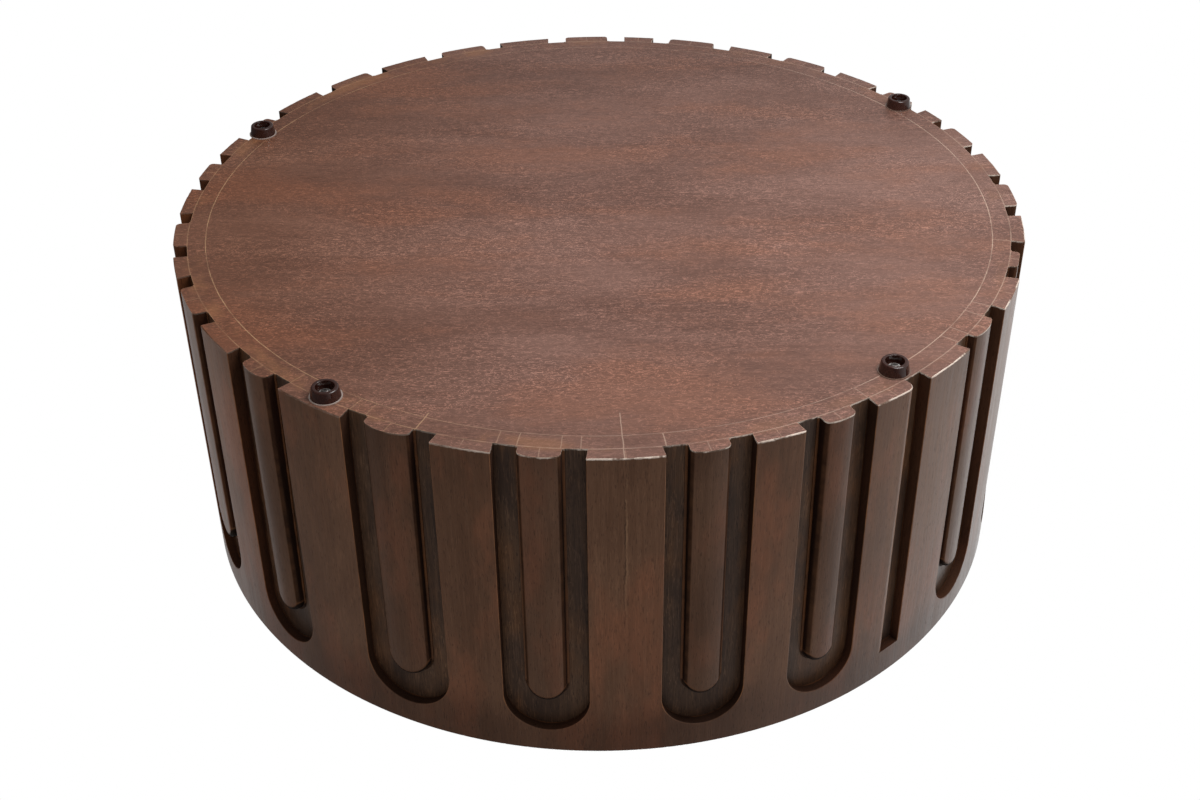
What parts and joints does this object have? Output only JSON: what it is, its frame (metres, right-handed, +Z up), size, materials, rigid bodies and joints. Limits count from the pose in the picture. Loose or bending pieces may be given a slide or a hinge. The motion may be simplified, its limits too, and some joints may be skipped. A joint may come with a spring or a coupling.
{
  "type": "drum coffee table",
  "caption": "Low round African drum coffee table in dark stained wood: arched channels with rounded tongues run down its wall, a flat top, and small screw-on bumper feet.",
  "frame": {"origin": "centre of the drum on the floor plane, under the feet", "axes": "+Z up along the drum's axis, feet at z = 0 and the tabletop at z = 0.4155 m; -Y is the side that the picture shows nearest"},
  "size_m": [1, 1, 0.4155],
  "materials": {
    "board_wood": "dark stain, satin",
    "tongue_wood": "dark stain, satin",
    "core_wood": "dark stain, satin",
    "underside_wood": "reddish brown stain, satin",
    "tabletop_wood": "dark stain, satin",
    "inner_wood": "bare wood",
    "foot_plastic": "glossy dark brown",
    "washer_steel": "zinc plated",
    "screw_steel": "zinc plated"
  },
  "bodies": {
    "root": {"arch_board_01": "board_wood", "arch_board_02": "board_wood", "arch_board_03": "board_wood", "arch_board_04": "board_wood", "arch_board_05": "board_wood", "arch_board_06": "board_wood", "arch_board_07": "board_wood", "arch_board_08": "board_wood", "arch_board_09": "board_wood", "arch_board_10": "board_wood", "arch_board_11": "board_wood", "arch_board_12": "board_wood", "arch_board_13": "board_wood", "arch_board_14": "board_wood", "arch_board_15": "board_wood", "arch_board_16": "board_wood", "arch_board_17": "board_wood", "arch_board_18": "board_wood", "arch_board_19": "board_wood", "groove_board": "board_wood", "tongue_01": "tongue_wood", "tongue_02": "tongue_wood", "tongue_03": "tongue_wood", "tongue_04": "tongue_wood", "tongue_05": "tongue_wood", "tongue_06": "tongue_wood", "tongue_07": "tongue_wood", "tongue_08": "tongue_wood", "tongue_09": "tongue_wood", "tongue_10": "tongue_wood", "tongue_11": "tongue_wood", "tongue_12": "tongue_wood", "tongue_13": "tongue_wood", "tongue_14": "tongue_wood", "tongue_15": "tongue_wood", "tongue_16": "tongue_wood", "tongue_17": "tongue_wood", "tongue_18": "tongue_wood", "tongue_19": "tongue_wood", "core_panel_1": "core_wood", "core_panel_2": "core_wood", "core_panel_3": "core_wood", "core_panel_4": "core_wood", "core_panel_5": "core_wood", "core_panel_6": "core_wood", "core_panel_7": "core_wood", "core_panel_8": "core_wood", "underside_panel": "underside_wood", "tabletop": "tabletop_wood", "brace_long": "inner_wood", "brace_cross": "inner_wood", "top_cleats": "inner_wood", "bottom_cleats": "inner_wood", "foot_back_right": "foot_plastic", "foot_back_left": "foot_plastic", "foot_front_left": "foot_plastic", "foot_front_right": "foot_plastic", "foot_washers": "washer_steel", "foot_screws": "screw_steel"}
  },
  "joints": []
}
